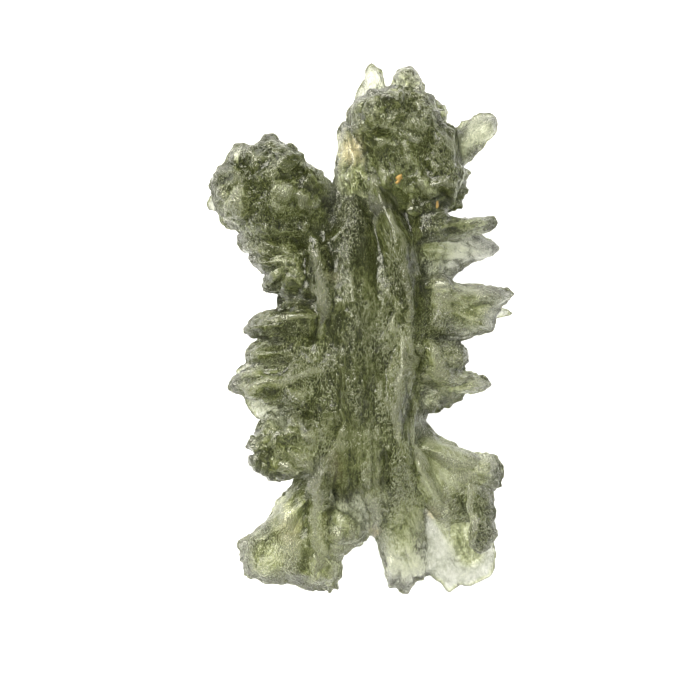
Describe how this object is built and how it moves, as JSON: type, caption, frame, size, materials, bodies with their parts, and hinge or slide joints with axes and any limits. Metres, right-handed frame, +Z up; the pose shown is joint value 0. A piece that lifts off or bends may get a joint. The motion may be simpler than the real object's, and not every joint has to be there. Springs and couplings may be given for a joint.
{
  "type": "moldavite",
  "caption": "Raw hedgehog moldavite: a free piece of deeply etched green tektite glass with fins, spines and flow ridges.",
  "frame": {"origin": "middle of the stone's bounding box on the surface it lies on", "axes": "+Y along the stone's length towards its lumpy head, +Z up from the surface it lies on"},
  "size_m": [0.0234, 0.0404, 0.0099],
  "materials": {
    "glass": "clear olive-green natural glass, etched to a fine satin crumple",
    "clay": "matt ochre clay caught in a few etched pits"
  },
  "bodies": {
    "root": {"moldavite": "glass"}
  },
  "joints": []
}
